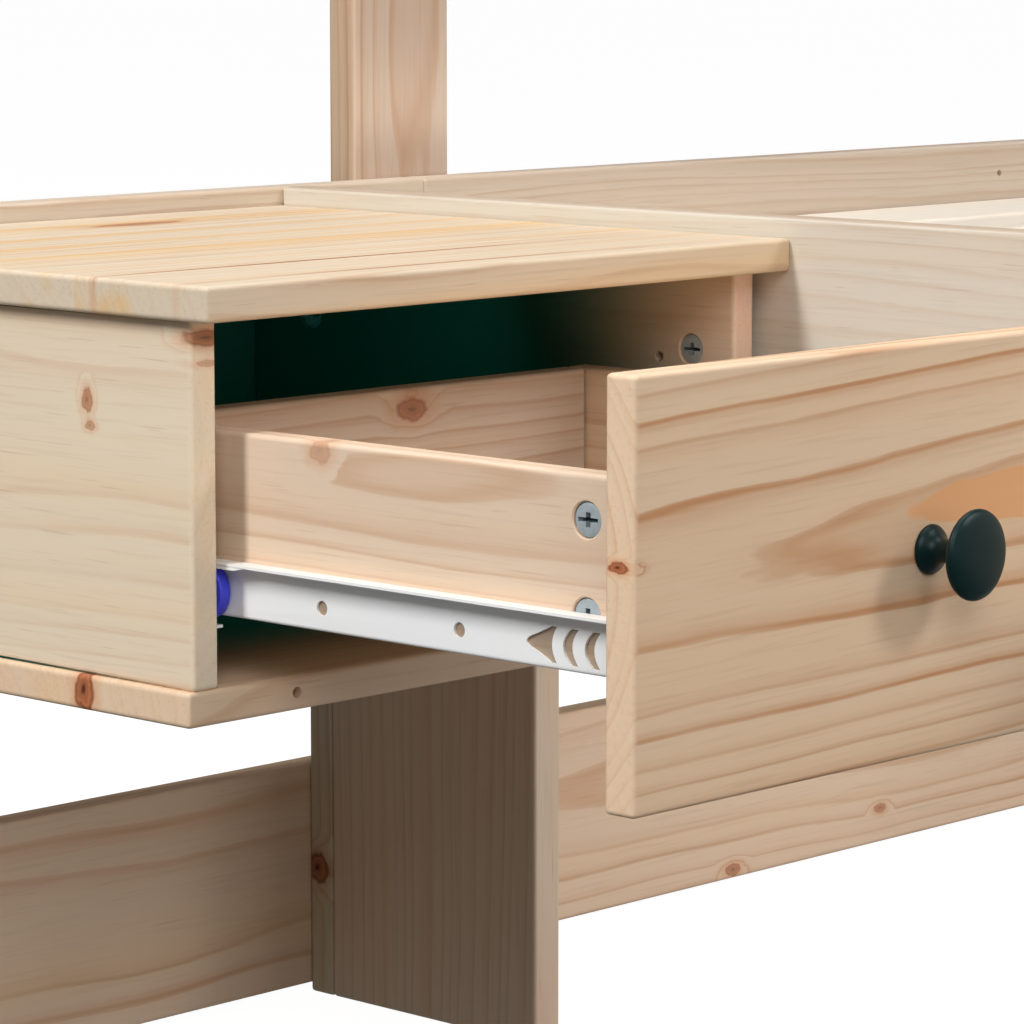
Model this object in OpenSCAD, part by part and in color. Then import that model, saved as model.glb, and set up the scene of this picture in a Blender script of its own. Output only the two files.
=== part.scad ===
// Solid pine double bed with a bedside drawer cabinet on each side of its head.
// +Z is up, the head is at +Y and the foot at -Y. The origin is on the floor, in the middle
// of the footprint. Left is -X. Every left-hand piece is drawn once and mirrored for the right.

/* [Mattress] */
// Width of the mattress
mattress_w = 1400; // [900:50:1800]
// Length of the mattress
mattress_l = 2000; // [1900:50:2200]
// Free space on every side of the mattress
mattress_gap = 10; // [2:1:20]

/* [Rails and back boards] */
// Thickness of rails and back boards
board_t = 18; // [15:1:25]
// Height of the rails and the upper back boards
rail_h = 204; // [160:1:240]
// Height of the rails' top edge above the floor
rail_top = 454; // [400:1:560]
// Height of the lower back boards
lower_board_h = 126; // [80:1:150]
// Gap between the lower back boards and the floor
lower_board_gap = 4.5; // [2:0.5:20]

/* [Headboard] */
// Height of the headboard posts
headboard_h = 1000; // [850:10:1200]
// Width of the posts
post_w = 76; // [60:1:100]
// Thickness of the posts
post_t = 20; // [18:1:28]
// Height of each of the two boards between the posts
head_board_h = 120; // [80:5:150]
// Gap between those two boards
head_board_gap = 40; // [20:5:80]
// Distance from the headboard's outer post to the end of the lower back board
post_inset = 20; // [0:1:60]

/* [Legs] */
// Width of each leg board
leg_w = 155; // [100:1:180]
// Thickness of the leg boards that stand along the side rails
leg_side_t = 20; // [18:1:25]
// Thickness of the leg boards that stand across the bed
leg_end_t = 18; // [18:1:25]

/* [Slats] */
// Number of slats
slat_count = 13; // [8:1:16]
// Width of a slat
slat_w = 85; // [60:5:110]
// Thickness of a slat
slat_t = 17; // [12:1:22]
// Depth of the slats' upper face below the rails' top edge
slat_drop = 37; // [25:1:50]
// Thickness of the ledges that the slats lie on
ledge_t = 20; // [15:1:30]
// Height of the ledges
ledge_h = 40; // [25:1:60]
// Width of the centre beam
beam_w = 40; // [30:1:70]
// Height of the centre beam
beam_h = 60; // [40:1:90]

/* [Cabinet] */
// Width of the cabinet's top
top_w = 387.4; // [320:0.1:470]
// Depth of the cabinet's top
top_d = 361.4; // [350:0.1:420]
// Depth of the cabinet's top below the rails' top edge
top_drop = 10; // [2:1:40]
// Thickness of the top, the bottom and the drawer front
panel_t = 16; // [14:1:20]
// Thickness of the cabinet's sides and of the drawer box
side_t = 15; // [14:1:18]
// Height of the cabinet's sides
side_h = 162; // [150:1:200]
// How far the top stands out past the sides
top_overhang = 6.7; // [4:0.1:15]
// How far the top stands out past the front edges of the sides
front_overhang = 17.7; // [16:0.1:30]
// How far the bottom stands out past the sides
bottom_overhang = 3; // [0:0.5:4]

/* [Drawer] */
// How far the left drawer stands open
left_open = 240; // [1:1:240]
// Gap that is left behind the front of a shut drawer
shut_gap = 0.5; // [0.3:0.1:1]
// How far a drawer can be pulled out
travel = 240; // [240:1:250]
// Height of the drawer front
front_h = 176; // [170:1:176]
// How far the drawer front hangs below the cabinet's bottom
front_drop = 3; // [0:0.5:6]
// Length of the drawer box
box_l = 327; // [310:1:335]
// Height of the drawer box
box_h = 80.5; // [70:0.5:110]
// Height of the drawer box above the cabinet's bottom
box_lift = 31; // [28:1:40]
// Space between the drawer box and each side of the cabinet
runner_gap = 12.5; // [12.5:0.1:14]
// Thickness of the drawer's base
base_t = 4; // [3:0.5:6]
// Diameter of the knob's head
knob_d = 39; // [25:1:45]
// How far the knob stands out
knob_l = 29; // [22:1:35]

/* [Runners and fittings] */
// Length of the runners
runner_l = 300; // [290:1:300]
// Thickness of the runners' sheet steel
sheet = 1.2; // [1:0.1:1.5]
// Radius of the front rollers
front_roller_r = 12.5; // [10:0.1:12.5]
// Radius of the rear rollers
rear_roller_r = 12; // [9:0.1:12]
// Width of the rollers
roller_w = 6; // [4:0.1:6]
// Diameter of a cam fitting
cam_d = 15; // [12:0.5:16]
// Depth of a cam fitting
cam_depth = 12; // [10:0.5:12.5]
// Diameter of the cam bolts
cam_bolt_d = 6; // [5:0.5:7]
// Diameter of the bolts that hold the frame together
frame_bolt_d = 6; // [5:0.5:8]

/* [Hidden] */
$fn = 48;
fit = 0.1;                 // clearance between a piece and the hole or groove that it sits in
play = 0.3;                // clearance between a roller and the track that it runs on

inner_x = mattress_w / 2 + mattress_gap;         // inner faces of the side rails
outer_x = inner_x + board_t;                     // outer faces of the side rails
inner_l = mattress_l + 2 * mattress_gap;         // length between back boards and foot rail
total_y = inner_l + 2 * board_t + post_t;
back_y = total_y / 2 - post_t - board_t;         // front faces of the back boards
foot_y = back_y - inner_l;                       // inner face of the foot rail
end_x = outer_x + top_w;                         // outer edges of the cabinets' tops
rail_z = rail_top - rail_h;
slat_top = rail_top - slat_drop;
slat_z = slat_top - slat_t;
joint_x = inner_x - 93;                          // where two back boards meet, on a post
nail_hole_d = 4;
nail_hole_depth = 8;
nail_hole_x = [45.3, 79.3];                      // small holes beside the bed's middle
nail_hole_drop = 20;

bolt_hole_d = frame_bolt_d + 2 * fit;
bolt_bite = 12;                                  // how far a frame bolt goes into its rail
bolt_head_d = 2 * frame_bolt_d;
bolt_head = 3;
end_bolt_x = inner_x - leg_side_t - 40;          // bolts through the legs' end boards
side_bolt_y = leg_end_t + 60;                    // bolts through the legs' side boards
function bolt_z(z0) = [z0 + 30, z0 + 85];

cab_top = rail_top - top_drop;
cab_roof = cab_top - panel_t;                    // underside of the cabinet's top
cab_floor = cab_roof - side_h;                   // upper face of the cabinet's bottom
cab_x0 = -end_x + top_overhang;                  // outer face of the outer side
cab_x1 = -outer_x - top_overhang;                // outer face of the inner side
cab_y = back_y - top_d + front_overhang;         // front edges of the sides
mid_x = (cab_x0 + cab_x1) / 2;

box_x0 = cab_x0 + side_t + runner_gap;
box_x1 = cab_x1 - side_t - runner_gap;
box_z = cab_floor + box_lift;
front_z = cab_floor - panel_t - front_drop;
groove = 6;                                      // depth of the grooves that hold the base
base_z = box_z + 10;
knob_z = front_z + front_h / 2;
knob_screw_d = 4;

cam_inset = 34.6;                                // from a joint to the centre of its cam
cab_cam_drop = 40;
cab_cam_y = [cab_y + 28, back_y - 45];
drawer_cam_z = [box_z + 22.5, box_z + 61.7];
dowel_hole_d = 5;
dowel_hole_depth = 25;
dowel_hole_inset = 62;

flange_z = box_z + 24;                           // top of the drawer runner's flange
flange_w = 10;
runner_z = box_z - sheet;
channel_top = flange_z - 3;                      // clear of the flange that hangs over it
channel_z = channel_top - 27;
channel_w = 9.7;
channel_setback = 8;                             // from the sides' front edges
front_roller_z = flange_z - sheet - play - front_roller_r;
front_roller_y = cab_y + front_roller_r + 3;
rear_roller_z = (channel_z + channel_top) / 2;
rear_roller_y = cab_y + runner_l - 15;
roller_x = box_x0 - flange_w + 1.7;              // rollers run under the flange
axle_end = 0.3;                                  // how far an axle stands out past its roller
axle_d = 4;
runner_hole_d = 6.5;
runner_holes = [105, 187];                       // from the runner's front end
arrow = [50, 67, 15];                            // near end, far end and height of the arrow
chevrons = [26.5, 39.5];

PINE = [0.86, 0.76, 0.62];
SHADE_PINE = [0.80, 0.69, 0.55];
PLY = [0.83, 0.74, 0.60];
WHITE_STEEL = [0.93, 0.93, 0.92];
ZINC = [0.66, 0.69, 0.72];
ROLLER_BLUE = [0.20, 0.22, 0.68];
KNOB_DARK = [0.09, 0.15, 0.15];

// A box between two opposite corners
module block(low, high) {
    translate(low) cube(high - low);
}

// A cylinder that starts at a point and runs along X, Y or Z
module rod(at, axis, d, l) {
    turn = axis == "x" ? [0, 90, 0] : axis == "y" ? [-90, 0, 0] : [0, 0, 0];
    translate(at) rotate(turn) cylinder(d = d, h = l);
}

module right() {
    mirror([1, 0, 0]) children();
}

// The left drawer, and what rides with it, stands open
module opened() {
    translate([0, -min(left_open, travel), 0]) children();
}

// The right drawer, and what rides with it, is pushed in
module shut() {
    translate([0, -shut_gap, 0]) children();
}

// Both ends of a cabinet: as drawn for the outer side, and mirrored on the cabinet's middle
module both_sides() {
    children();
    translate([2 * mid_x, 0, 0]) mirror([1, 0, 0]) children();
}

// ---- Headboard ----

module headboard_post() {
    color(PINE) block([-joint_x - post_w / 2, back_y + board_t, 0],
                      [-joint_x + post_w / 2, back_y + board_t + post_t, headboard_h]);
}

module outer_post() {
    color(PINE) block([-end_x + post_inset, back_y + board_t, 0],
                      [-end_x + post_inset + post_w, back_y + board_t + post_t, rail_top]);
}

module back_board(x0, x1, z0, h) {
    block([x0, back_y, z0], [x1, back_y + board_t, z0 + h]);
}

module upper_back_board_side() {
    color(PINE) difference() {
        back_board(-end_x, -joint_x, rail_z, rail_h);
        for (z = bolt_z(rail_z))
            rod([-end_bolt_x, back_y - 1, z], "y", bolt_hole_d, bolt_bite + 1);
    }
}

module upper_back_board_centre() {
    color(PINE) difference() {
        back_board(-joint_x, joint_x, rail_z, rail_h);
        for (x = nail_hole_x, side = [-1, 1])
            rod([side * x, back_y - 1, rail_top - nail_hole_drop], "y", nail_hole_d,
                nail_hole_depth + 1);
    }
}

module lower_back_board_side() {
    color(SHADE_PINE) back_board(-end_x, -joint_x, lower_board_gap, lower_board_h);
}

module lower_back_board_centre() {
    color(SHADE_PINE) back_board(-joint_x, joint_x, lower_board_gap, lower_board_h);
}

// The headboard's two upper boards are screwed to the front of the posts
module headboard_board(level) {
    top = headboard_h - level * (head_board_h + head_board_gap);
    color(PINE) back_board(-joint_x - post_w / 2, joint_x + post_w / 2, top - head_board_h,
                           head_board_h);
}

// ---- Rails, legs and slats ----

module side_rail() {
    color(PINE) difference() {
        block([-outer_x, foot_y, rail_z], [-inner_x, back_y, rail_top]);
        for (z = bolt_z(rail_z), y = [back_y - side_bolt_y, foot_y + side_bolt_y])
            rod([-inner_x - bolt_bite, y, z], "x", bolt_hole_d, bolt_bite + 1);
    }
}

module foot_rail() {
    color(PINE) difference() {
        block([-outer_x, foot_y - board_t, rail_z], [outer_x, foot_y, rail_top]);
        for (z = bolt_z(rail_z), side = [-1, 1])
            rod([side * end_bolt_x, foot_y - bolt_bite, z], "y", bolt_hole_d, bolt_bite + 1);
    }
}

// A leg is two boards that meet in an L in the bed's corner, under the slats.
// It is drawn at the head; the foot's leg is its mirror image.
module leg_side_board() {
    color(SHADE_PINE) difference() {
        block([-inner_x, back_y - leg_end_t - leg_w, 0],
              [-inner_x + leg_side_t, back_y - leg_end_t, slat_z - ledge_h]);
        for (z = bolt_z(rail_z))
            rod([-inner_x - 1, back_y - side_bolt_y, z], "x", bolt_hole_d, leg_side_t + 2);
    }
}

module leg_end_board() {
    color(SHADE_PINE) difference() {
        block([-inner_x, back_y - leg_end_t, 0], [-inner_x + leg_w, back_y, slat_z - ledge_h]);
        for (z = bolt_z(rail_z))
            rod([-end_bolt_x, back_y - leg_end_t - 1, z], "y", bolt_hole_d, leg_end_t + 2);
    }
}

module at_foot() {
    translate([0, back_y + foot_y, 0]) mirror([0, 1, 0]) children();
}

// A bolt through a leg board of thickness t, drawn along -Y from the rail towards its head
module frame_bolt(t) {
    rod([0, -t, 0], "y", frame_bolt_d, t + bolt_bite - 1);
    rod([0, -t - bolt_head, 0], "y", bolt_head_d, bolt_head);
}

module leg_bolts() {
    for (z = bolt_z(rail_z)) {
        translate([-end_bolt_x, back_y, z]) frame_bolt(leg_end_t);
        translate([-inner_x, back_y - side_bolt_y, z]) rotate([0, 0, 90]) frame_bolt(leg_side_t);
    }
}

module frame_bolts() {
    color(ZINC) {
        leg_bolts();
        right() leg_bolts();
        at_foot() leg_bolts();
        right() at_foot() leg_bolts();
    }
}

module slat_ledge() {
    color(PINE) block([-inner_x, foot_y, slat_z - ledge_h], [-inner_x + ledge_t, back_y, slat_z]);
}

module centre_beam() {
    color(PINE) block([-beam_w / 2, foot_y, slat_z - beam_h], [beam_w / 2, back_y, slat_z]);
}

module centre_feet() {
    color(PINE) for (share = [1 / 3, 2 / 3])
        block([-beam_w / 2, foot_y + share * inner_l - beam_w / 2, 0],
              [beam_w / 2, foot_y + share * inner_l + beam_w / 2, slat_z - beam_h]);
}

module slats() {
    pitch = (inner_l - slat_w - 2) / (slat_count - 1);
    color(PINE) for (i = [0 : slat_count - 1])
        translate([-inner_x + 2, back_y - 1 - slat_w - i * pitch, slat_z])
            cube([2 * inner_x - 4, slat_w, slat_t]);
}

// ---- Bedside cabinet, drawn on the left ----

module cabinet_top() {
    color(PINE) difference() {
        block([-end_x, back_y - top_d, cab_roof], [-outer_x, back_y, cab_top]);
        both_sides() for (y = cab_cam_y)
            rod([cab_x0 + side_t / 2, y, cab_roof - 1], "z", cam_bolt_d + 2 * fit, 12);
    }
}

module cabinet_side() {
    color(PINE) difference() {
        block([cab_x0, cab_y, cab_floor], [cab_x0 + side_t, back_y, cab_roof]);
        for (y = cab_cam_y) {
            rod([cab_x0 + side_t - cam_depth, y, cab_roof - cab_cam_drop], "x",
                cam_d + 2 * fit, cam_depth + 1);
            rod([cab_x0 + side_t / 2, y, cab_roof - cab_cam_drop], "z", cam_bolt_d + 2 * fit,
                cab_cam_drop + 1);
        }
        rod([cab_x0 + side_t - nail_hole_depth, cab_cam_y[0] + 21, cab_roof - cab_cam_drop - 5],
            "x", dowel_hole_d, nail_hole_depth + 1);
    }
}

module cabinet_inner_side() {
    translate([2 * mid_x, 0, 0]) mirror([1, 0, 0]) cabinet_side();
}

module cabinet_bottom() {
    color(PINE) difference() {
        block([cab_x0 - bottom_overhang, cab_y, cab_floor - panel_t],
              [cab_x1 + bottom_overhang, back_y, cab_floor]);
        both_sides() rod([cab_x0 + dowel_hole_inset, cab_y - 1, cab_floor - panel_t / 2], "y",
                         dowel_hole_d, dowel_hole_depth + 1);
    }
}

// A cam and the bolt that it pulls, drawn with the cam along +X and the bolt along +Z
module cam_and_bolt(reach) {
    rod([-cam_depth, 0, 0], "x", cam_d, cam_depth);
    translate([-side_t / 2, 0, cam_d / 2 + fit]) cylinder(d = cam_bolt_d, h = reach - cam_d / 2 - fit);
}

module cabinet_cams() {
    both_sides() for (y = cab_cam_y)
        translate([cab_x0 + side_t, y, cab_roof - cab_cam_drop]) cam_and_bolt(cab_cam_drop + 10);
}

module cabinet_fittings() {
    color(ZINC) {
        cabinet_cams();
        right() cabinet_cams();
    }
}

// The cabinet's runner is a C channel; its upper flange stops behind the front roller
module cabinet_runner() {
    x = cab_x0 + side_t;
    y0 = cab_y + channel_setback;
    y1 = cab_y + runner_l;
    block([x, y0, channel_z], [x + sheet, y1, channel_top]);
    block([x, y0, channel_z], [x + channel_w, y1, channel_z + sheet]);
    block([x, front_roller_y + front_roller_r + 1, channel_top - sheet],
          [x + channel_w, y1, channel_top]);
    rod([x + sheet / 2, front_roller_y, front_roller_z], "x", axle_d,
        roller_x + roller_w + axle_end - x - sheet / 2);
}

module cabinet_runners() {
    color(WHITE_STEEL) both_sides() cabinet_runner();
}

module roller(r) {
    rotate([0, 90, 0]) rotate_extrude() polygon([
        [axle_d / 2 + 0.05, 0], [r, 0], [r, roller_w], [axle_d / 2 + 0.05, roller_w]
    ]);
}

module front_rollers() {
    color(ROLLER_BLUE) both_sides()
        translate([roller_x, front_roller_y, front_roller_z]) roller(front_roller_r);
}

// ---- Drawer, drawn closed and on the left ----

module drawer_front() {
    color(PINE) difference() {
        block([cab_x0, cab_y - panel_t, front_z], [cab_x1, cab_y, front_z + front_h]);
        rod([mid_x, cab_y - panel_t - 1, knob_z], "y", knob_screw_d + 2 * fit, panel_t + 2);
        both_sides() for (z = drawer_cam_z)
            rod([box_x0 + side_t / 2, cab_y - 10, z], "y", cam_bolt_d + 2 * fit, 11);
    }
}

module drawer_side() {
    color(PINE) difference() {
        block([box_x0, cab_y, box_z], [box_x0 + side_t, cab_y + box_l, box_z + box_h]);
        block([box_x0 + side_t - groove, cab_y - 1, base_z],
              [box_x0 + side_t + 1, cab_y + box_l - side_t, base_z + base_t]);
        for (z = drawer_cam_z) {
            rod([box_x0 - 1, cab_y + cam_inset, z], "x", cam_d + 2 * fit, cam_depth + 1);
            rod([box_x0 + side_t / 2, cab_y - 1, z], "y", cam_bolt_d + 2 * fit, cam_inset + 1);
        }
    }
}

module drawer_inner_side() {
    translate([2 * mid_x, 0, 0]) mirror([1, 0, 0]) drawer_side();
}

module drawer_back() {
    y = cab_y + box_l - side_t;
    color(PINE) difference() {
        block([box_x0 + side_t, y, box_z], [box_x1 - side_t, y + side_t, box_z + box_h]);
        block([box_x0, y - 1, base_z], [box_x1, y + groove, base_z + base_t]);
    }
}

module drawer_base() {
    x = box_x0 + side_t - groove + fit;
    color(PLY) block([x, cab_y + fit, base_z + fit],
                     [2 * mid_x - x, cab_y + box_l - side_t - fit, base_z + base_t - fit]);
}

// A turned knob: a flange on the wood, a narrow neck and a mushroom head, with a blind screw hole
module drawer_knob() {
    r = knob_d / 2;
    color(KNOB_DARK) translate([mid_x, cab_y - panel_t, knob_z]) rotate([90, 0, 0])
        rotate_extrude() polygon(concat(
            [[knob_screw_d / 2 + fit, 0], [11, 0], [11, 2], [9, 4.5], [6, 7], [5.5, 11],
             [7, 15], [11, knob_l - 11]],
            [for (a = [-70 : 20 : 90]) [(r - 4) + 4 * cos(a), (knob_l - 5) + (a > 0 ? 5 : 4) * sin(a)]],
            [[0, knob_l], [0, 12], [knob_screw_d / 2 + fit, 12]]
        ));
}

// The drawer's runner wraps the bottom edge of the side and hangs over the front roller
module drawer_runner() {
    x = box_x0;
    y1 = cab_y + runner_l;
    difference() {
        union() {
            block([x - sheet, cab_y + 0.5, runner_z], [x, y1, flange_z]);
            block([x - flange_w, cab_y + 0.5, flange_z - sheet], [x, y1, flange_z]);
            block([x - sheet, cab_y + 0.5, runner_z], [x + 10, y1, box_z]);
        }
        for (y = runner_holes)
            rod([x - 2, cab_y + y, box_z + 9], "x", runner_hole_d, 3);
        translate([x - 2, cab_y, box_z + 9]) rotate([0, 90, 0]) linear_extrude(3) {
            polygon([[0, arrow[1]], [-arrow[2] / 2, arrow[0]], [arrow[2] / 2, arrow[0]]]);
            for (y = chevrons)
                polygon([[0, y + 5], [-arrow[2] / 2, y], [-arrow[2] / 2, y - 4], [0, y + 1],
                         [arrow[2] / 2, y - 4], [arrow[2] / 2, y]]);
        }
    }
    rod([roller_x - axle_end, rear_roller_y, rear_roller_z], "x", axle_d,
        x - sheet / 2 - roller_x + axle_end);
}

module drawer_runners() {
    color(WHITE_STEEL) both_sides() drawer_runner();
}

module rear_rollers() {
    color(ROLLER_BLUE) both_sides()
        translate([roller_x, rear_roller_y, rear_roller_z]) roller(rear_roller_r);
}

module drawer_fittings() {
    color(ZINC) {
        both_sides() for (z = drawer_cam_z)
            translate([box_x0, cab_y + cam_inset, z]) rotate([90, 0, 0]) mirror([1, 0, 0])
                cam_and_bolt(cam_inset + 9);
        rod([mid_x, cab_y - panel_t - 10, knob_z], "y", knob_screw_d, panel_t + 10);
        rod([mid_x, cab_y, knob_z], "y", 2 * knob_screw_d, 2.5);
    }
}

headboard_post();  // headboard_post_left
right() headboard_post();  // headboard_post_right
outer_post();  // outer_post_left
right() outer_post();  // outer_post_right
upper_back_board_side();  // upper_back_board_left
upper_back_board_centre();
right() upper_back_board_side();  // upper_back_board_right
lower_back_board_side();  // lower_back_board_left
lower_back_board_centre();
right() lower_back_board_side();  // lower_back_board_right
headboard_board(0);  // headboard_top_board
headboard_board(1);  // headboard_low_board
side_rail();  // side_rail_left
right() side_rail();  // side_rail_right
foot_rail();
leg_side_board();  // head_leg_left_side
leg_end_board();  // head_leg_left_end
right() leg_side_board();  // head_leg_right_side
right() leg_end_board();  // head_leg_right_end
at_foot() leg_side_board();  // foot_leg_left_side
at_foot() leg_end_board();  // foot_leg_left_end
right() at_foot() leg_side_board();  // foot_leg_right_side
right() at_foot() leg_end_board();  // foot_leg_right_end
slat_ledge();  // slat_ledge_left
right() slat_ledge();  // slat_ledge_right
centre_beam();
centre_feet();
slats();
frame_bolts();
cabinet_top();  // cabinet_left_top
cabinet_side();  // cabinet_left_outer_side
cabinet_inner_side();  // cabinet_left_inner_side
cabinet_bottom();  // cabinet_left_bottom
cabinet_runners();  // cabinet_left_runners
front_rollers();  // front_rollers_left
opened() drawer_front();  // drawer_left_front
opened() drawer_side();  // drawer_left_outer_side
opened() drawer_inner_side();  // drawer_left_inner_side
opened() drawer_back();  // drawer_left_back
opened() drawer_base();  // drawer_left_base
opened() drawer_knob();  // drawer_left_knob
opened() drawer_runners();  // drawer_left_runners
opened() drawer_fittings();  // drawer_left_fittings
opened() rear_rollers();  // rear_rollers_left
right() cabinet_top();  // cabinet_right_top
right() cabinet_side();  // cabinet_right_outer_side
right() cabinet_inner_side();  // cabinet_right_inner_side
right() cabinet_bottom();  // cabinet_right_bottom
right() cabinet_runners();  // cabinet_right_runners
right() front_rollers();  // front_rollers_right
cabinet_fittings();
right() shut() drawer_front();  // drawer_right_front
right() shut() drawer_side();  // drawer_right_outer_side
right() shut() drawer_inner_side();  // drawer_right_inner_side
right() shut() drawer_back();  // drawer_right_back
right() shut() drawer_base();  // drawer_right_base
right() shut() drawer_knob();  // drawer_right_knob
right() shut() drawer_runners();  // drawer_right_runners
right() shut() drawer_fittings();  // drawer_right_fittings
right() shut() rear_rollers();  // rear_rollers_right
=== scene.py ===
# A solid pine double bed with a bedside drawer cabinet on each side of its head.
# Metres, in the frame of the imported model: +Z up, head of the bed at +Y, left cabinet at -X.
from math import cos, pi, radians, sin

import bmesh
import bpy
import numpy as np
from mathutils import Euler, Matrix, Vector


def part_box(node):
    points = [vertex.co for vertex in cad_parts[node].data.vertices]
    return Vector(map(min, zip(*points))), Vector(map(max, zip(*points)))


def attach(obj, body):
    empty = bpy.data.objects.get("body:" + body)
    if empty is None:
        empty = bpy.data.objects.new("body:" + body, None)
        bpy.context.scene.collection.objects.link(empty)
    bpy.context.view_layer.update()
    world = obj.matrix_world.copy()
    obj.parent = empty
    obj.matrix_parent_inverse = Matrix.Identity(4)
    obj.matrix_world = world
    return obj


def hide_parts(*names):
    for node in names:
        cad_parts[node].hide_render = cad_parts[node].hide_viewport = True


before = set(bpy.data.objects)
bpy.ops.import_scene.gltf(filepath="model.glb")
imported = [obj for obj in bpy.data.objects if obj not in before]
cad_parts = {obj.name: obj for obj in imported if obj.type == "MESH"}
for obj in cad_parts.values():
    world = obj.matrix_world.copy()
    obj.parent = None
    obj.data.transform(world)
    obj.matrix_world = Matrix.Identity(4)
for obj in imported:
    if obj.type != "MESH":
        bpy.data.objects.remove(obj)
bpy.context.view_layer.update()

# ---- Camera -------------------------------------------------------------------------------
# A long lens, a little above the cabinet's top, looking over the left cabinet to the bed.
camera_data = bpy.data.cameras.new("camera")
camera = bpy.data.objects.new("camera", camera_data)
bpy.context.scene.collection.objects.link(camera)
bpy.context.scene.camera = camera
camera_data.sensor_width = 36
camera_data.lens = 150.2
camera_data.clip_end = 100
camera.location = (-2.3395, -0.6992, 0.5975)
camera_pitch, camera_yaw = 7.865, 46.563
camera.rotation_euler = (radians(90 - camera_pitch), 0, radians(-camera_yaw))

# ---- Studio -------------------------------------------------------------------------------
# A white floor that lights itself under a sky that looks white but gives little light. A wide lamp above, a tall narrow one from
# the left and a fill from the front left light the cabinet; a small key from the right makes
# the knob's shadow. Two weak ones reach the leg boards, and one the back of the cabinet.
def linear(red, green, blue):
    """Scene-linear colour of an sRGB colour given from 0 to 255."""
    s = np.array([red, green, blue]) / 255
    return tuple(np.where(s <= 0.04045, s / 12.92, ((s + 0.055) / 1.055) ** 2.4)) + (1.0,)


def put(tree, kind, feed, **settings):
    """Adds a shader node and returns its outputs; feed gives its inputs values or sockets."""
    node = tree.nodes.new("ShaderNode" + kind)
    for key, value in settings.items():
        setattr(node, key, value)
    for socket, source in feed.items():
        if isinstance(source, bpy.types.NodeSocket):
            tree.links.new(source, node.inputs[socket])
        else:
            node.inputs[socket].default_value = source
    return node.outputs


def new_material(name):
    """An empty node material and its tree."""
    material = bpy.data.materials.new(name)
    material.use_nodes = True
    material.node_tree.nodes.clear()
    return material, material.node_tree


def finish_material(tree, feed, height=None, strength=0.2, distance=0.001):
    """Ends a material in a Principled shader, with bump from height if it is given."""
    if height is not None:
        feed["Normal"] = put(tree, "Bump", {"Height": height, "Strength": strength,
                                            "Distance": distance})["Normal"]
    shader = put(tree, "BsdfPrincipled", feed)
    put(tree, "OutputMaterial", {"Surface": shader["BSDF"]})


SKY_GLOW, GROUND_GLOW = 0.10, 0.16
floor_size = 60
floor_mesh = bpy.data.meshes.new("floor")
corners = [(-floor_size, -floor_size, 0), (floor_size, -floor_size, 0),
           (floor_size, floor_size, 0), (-floor_size, floor_size, 0)]
floor_mesh.from_pydata(corners, [], [(0, 1, 2, 3)])
floor = bpy.data.objects.new("floor", floor_mesh)
bpy.context.scene.collection.objects.link(floor)
floor_material, tree = new_material("white_floor")
floor_noise = put(tree, "TexNoise", {"Vector": put(tree, "TexCoord", {})["Object"], "Scale": 0.7})
floor_colour = put(tree, "MapRange", {0: floor_noise[0], 3: 0.14, 4: 0.18})
finish_material(tree, {"Base Color": floor_colour[0], "Roughness": 0.9, "Specular IOR Level": 0.0,
                       "Emission Color": (1.0, 1.0, 1.0, 1), "Emission Strength": 0.97})
floor_mesh.materials.append(floor_material)
floor.visible_diffuse = False
floor.visible_glossy = False

world = bpy.data.worlds.new("sky")
bpy.context.scene.world = world
world.use_nodes = True
sky = world.node_tree
sky.nodes["Background"].inputs["Color"].default_value = (1.0, 1.0, 1.0, 1)
direction = put(sky, "TexCoord", {})["Generated"]
upward = put(sky, "SeparateXYZ", {0: direction})["Z"]
dome = put(sky, "MapRange", {0: upward, 1: -0.25, 2: 0.02, 3: GROUND_GLOW, 4: SKY_GLOW})
seen = put(sky, "LightPath", {})["Is Camera Ray"]
glow = put(sky, "Mix", {0: seen, 2: dome[0], 3: 0.97})
sky.links.new(glow[0], sky.nodes["Background"].inputs["Strength"])
bpy.context.scene.view_settings.view_transform = "Standard"


def lamp(name, place, aim, size, power, colour=(1.0, 1.0, 1.0)):
    """An area lamp of size (across, up) at place that faces aim."""
    data = bpy.data.lights.new(name, "AREA")
    data.shape = "RECTANGLE"
    data.size, data.size_y = size
    data.energy = power
    data.color = colour
    thing = bpy.data.objects.new(name, data)
    bpy.context.scene.collection.objects.link(thing)
    thing.location = place
    thing.rotation_euler = (Vector(aim) - Vector(place)).to_track_quat("-Z", "Y").to_euler()
    thing.visible_camera = False


cabinet_middle = (-0.92, 0.7, 0.35)
lamp("key", (0.9, -2.2, 2.6), cabinet_middle, (0.9, 0.9), 46)
lamp("side", (-3.9, 1.2, 3.0), cabinet_middle, (0.45, 1.7), 112)
lamp("top", (-0.5, 0.6, 4.0), cabinet_middle, (2.5, 2.5), 66)
lamp("fill", (-2.9, -1.7, 2.4), cabinet_middle, (2.0, 2.0), 50)
lamp("low", (-1.6, -4.0, 0.7), (-0.9, 1.0, 0.1), (3.0, 0.8), 10)
lamp("under", (-0.25, 0.40, 0.10), (-0.30, 1.0, 0.06), (0.8, 0.10), 2.2)
lamp("cavity", (-0.92, 0.80, 0.415), (-0.92, 0.98, 0.30), (0.25, 0.02), 0.026, (0.0, 1.0, 0.85))

# ---- Boards -------------------------------------------------------------------------------
# Every wooden part is a planed pine board with its edges rounded over by 2 to 3 mm.
edge_radius = 0.0021
edge_steps = 4
edge_support = 0.0006


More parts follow.
